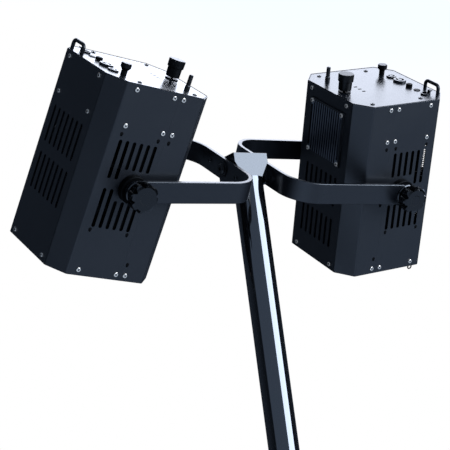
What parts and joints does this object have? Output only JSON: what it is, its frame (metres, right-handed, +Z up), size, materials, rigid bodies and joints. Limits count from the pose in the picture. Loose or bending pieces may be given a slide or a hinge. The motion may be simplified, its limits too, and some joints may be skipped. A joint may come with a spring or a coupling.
{
  "type": "twin-head stage projector on a mast",
  "caption": "Box-shaped projector heads hung in U-shaped yokes, back to back on top of a slim round mast with a square base plate.",
  "frame": {"origin": "centre of the base plate's underside, on the mast's axis", "axes": "+Z up the mast, +X towards the right-hand head, -Y the front, towards which the heads' tops lean"},
  "size_m": [0.853, 0.3935, 1.4699],
  "materials": {
    "mast_gloss": "gloss black paint",
    "block_gloss": "gloss black paint",
    "bolt_steel": "blackened steel",
    "case_paint": "semi-gloss black powder coat",
    "plate_paint": "semi-gloss black powder coat",
    "screw_steel": "bright stainless",
    "grille_paint": "black anodised",
    "front_glass": "clear",
    "barrel_black": "black anodised",
    "lens_glass": "clear",
    "board": "white board with yellow emitter",
    "heat_sink_metal": "extruded",
    "fan_plastic": "moulded",
    "chassis_metal": "folded sheet",
    "supply_metal": "satin",
    "socket_plastic": "moulded",
    "socket_metal": "plated",
    "fitting_plastic": "moulded",
    "handle_metal": "black",
    "antenna_rubber": "moulded",
    "knob_plastic": "moulded",
    "disc_plastic": "moulded",
    "clamp_plastic": "moulded",
    "yoke_paint": "semi-gloss black paint"
  },
  "bodies": {
    "mast": {"base_plate": "mast_gloss", "base_gussets": "mast_gloss", "mast_tube": "mast_gloss", "mast_head": "block_gloss", "swivel_bolts": "bolt_steel"},
    "right_yoke": {"right_yoke_bar": "yoke_paint", "right_yoke_screws": "screw_steel"},
    "right_head": {"right_intake_shell": "case_paint", "right_outer_shell": "case_paint", "right_top_plate": "plate_paint", "right_bottom_bezel": "case_paint", "right_panel_screws": "screw_steel", "right_filter_grille": "grille_paint", "right_front_glass": "front_glass", "right_lens_barrel": "barrel_black", "right_lens": "lens_glass", "right_led_board": "board", "right_heat_sink": "heat_sink_metal", "right_fan_frame": "fan_plastic", "right_chassis": "chassis_metal", "right_power_supply": "supply_metal", "right_power_sockets": "socket_plastic", "right_data_socket": "socket_metal", "right_panel_fittings": "fitting_plastic", "right_handle": "handle_metal", "right_antenna": "antenna_rubber", "right_pivot_discs": "disc_plastic"},
    "right_fan": {"right_fan_rotor": "fan_plastic"},
    "right_focus": {"right_focus_knob": "knob_plastic"},
    "right_small_control": {"right_small_knob": "knob_plastic"},
    "right_front_clamp": {"right_front_clamp_knob": "clamp_plastic"},
    "right_back_clamp": {"right_back_clamp_knob": "clamp_plastic"},
    "left_yoke": {"left_yoke_bar": "yoke_paint", "left_yoke_screws": "screw_steel"},
    "left_head": {"left_intake_shell": "case_paint", "left_outer_shell": "case_paint", "left_top_plate": "plate_paint", "left_bottom_bezel": "case_paint", "left_panel_screws": "screw_steel", "left_filter_grille": "grille_paint", "left_front_glass": "front_glass", "left_lens_barrel": "barrel_black", "left_lens": "lens_glass", "left_led_board": "board", "left_heat_sink": "heat_sink_metal", "left_fan_frame": "fan_plastic", "left_chassis": "chassis_metal", "left_power_supply": "supply_metal", "left_power_sockets": "socket_plastic", "left_data_socket": "socket_metal", "left_panel_fittings": "fitting_plastic", "left_handle": "handle_metal", "left_antenna": "antenna_rubber", "left_pivot_discs": "disc_plastic"},
    "left_fan": {"left_fan_rotor": "fan_plastic"},
    "left_focus": {"left_focus_knob": "knob_plastic"},
    "left_small_control": {"left_small_knob": "knob_plastic"},
    "left_front_clamp": {"left_front_clamp_knob": "clamp_plastic"},
    "left_back_clamp": {"left_back_clamp_knob": "clamp_plastic"}
  },
  "joints": [
    {"name": "right_yoke_swivel", "type": "hinge", "parent": "mast", "child": "right_yoke", "pos_m": [0.0466, 0.011, 1.25], "axis": [1, 0, 0], "range_deg": [-125, 55]},
    {"name": "right_head_tilt", "type": "hinge", "parent": "right_yoke", "child": "right_head", "pos_m": [0.30133, 0.011, 1.25], "axis": [0, 0.8192, 0.5736], "range_deg": [-81.4, 98.6]},
    {"name": "right_fan_spin", "type": "hinge", "parent": "right_head", "child": "right_fan", "pos_m": [0.1875, -0.03714, 1.31875], "axis": [0.9888, -0.0858, 0.1225], "continuous": true},
    {"name": "right_focus_turn", "type": "hinge", "parent": "right_head", "child": "right_focus", "pos_m": [0.19007, -0.09312, 1.38126], "axis": [-0.1495, -0.5671, 0.8099], "range_deg": [-135, 135]},
    {"name": "right_small_knob_turn", "type": "hinge", "parent": "right_head", "child": "right_small_control", "pos_m": [0.32948, -0.04787, 1.43868], "axis": [-0.1495, -0.5671, 0.8099], "range_deg": [-135, 135]},
    {"name": "right_front_clamp_turn", "type": "hinge", "parent": "right_head", "child": "right_front_clamp", "pos_m": [0.30133, -0.10368, 1.1697], "axis": [0, -0.8192, -0.5736], "range_deg": [0, 360]},
    {"name": "right_back_clamp_turn", "type": "hinge", "parent": "right_head", "child": "right_back_clamp", "pos_m": [0.30133, 0.12568, 1.3303], "axis": [0, 0.8192, 0.5736], "range_deg": [0, 360]},
    {"name": "left_yoke_swivel", "type": "hinge", "parent": "mast", "child": "left_yoke", "pos_m": [-0.0466, 0.011, 1.25], "axis": [1, 0, 0], "range_deg": [-125, 55]},
    {"name": "left_head_tilt", "type": "hinge", "parent": "left_yoke", "child": "left_head", "pos_m": [-0.30133, 0.011, 1.25], "axis": [0, -0.8192, -0.5736], "range_deg": [-81.4, 98.6]},
    {"name": "left_fan_spin", "type": "hinge", "parent": "left_head", "child": "left_fan", "pos_m": [-0.1875, -0.03714, 1.31875], "axis": [-0.9888, -0.0858, 0.1225], "continuous": true},
    {"name": "left_focus_turn", "type": "hinge", "parent": "left_head", "child": "left_focus", "pos_m": [-0.19007, -0.07673, 1.39273], "axis": [0.1495, -0.5671, 0.8099], "range_deg": [-135, 135]},
    {"name": "left_small_knob_turn", "type": "hinge", "parent": "left_head", "child": "left_small_control", "pos_m": [-0.32948, -0.14617, 1.36985], "axis": [0.1495, -0.5671, 0.8099], "range_deg": [-135, 135]},
    {"name": "left_front_clamp_turn", "type": "hinge", "parent": "left_head", "child": "left_front_clamp", "pos_m": [-0.30133, 0.12568, 1.3303], "axis": [0, 0.8192, 0.5736], "range_deg": [0, 360]},
    {"name": "left_back_clamp_turn", "type": "hinge", "parent": "left_head", "child": "left_back_clamp", "pos_m": [-0.30133, -0.10368, 1.1697], "axis": [0, -0.8192, -0.5736], "range_deg": [0, 360]}
  ]
}
